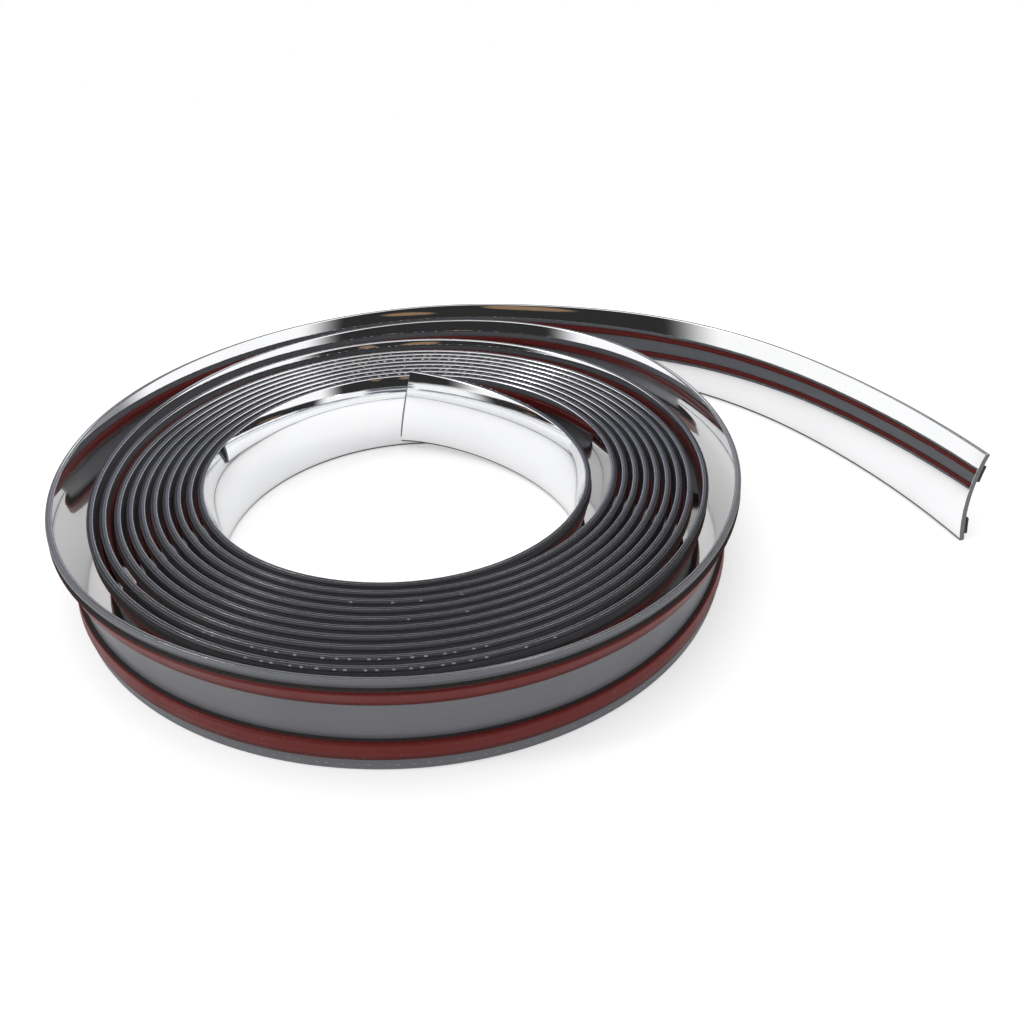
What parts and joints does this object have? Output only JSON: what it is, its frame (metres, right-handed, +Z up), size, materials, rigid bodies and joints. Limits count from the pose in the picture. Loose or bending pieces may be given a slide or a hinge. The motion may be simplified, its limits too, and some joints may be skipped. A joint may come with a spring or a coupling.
{
  "type": "coiled chrome trim strip",
  "caption": "Self-adhesive trim strip with a domed chromed face and a hollow plastic back with taped edges, wound in a loose flat coil with a free tail, for edging panels",
  "frame": {"origin": "on the floor plane under the coil, on the axis of its bore", "axes": "+Z up along the axis of the coil, across the width of the strip; +X towards the side where the free tail ends, along the longest extent; +Y to the back, where the tail leaves the coil and the inner end lies"},
  "size_m": [0.2491, 0.1996, 0.025],
  "materials": {
    "chrome_strip": "dark grey moulded vinyl, with a mirror chrome film over the domed face",
    "foam_tape": "closed-cell foam, matt black",
    "liner_film": "glossy dark red release film"
  },
  "bodies": {
    "root": {"chrome_strip": "chrome_strip", "upper_tape": "foam_tape", "lower_tape": "foam_tape", "upper_liner": "liner_film", "lower_liner": "liner_film"}
  },
  "joints": []
}
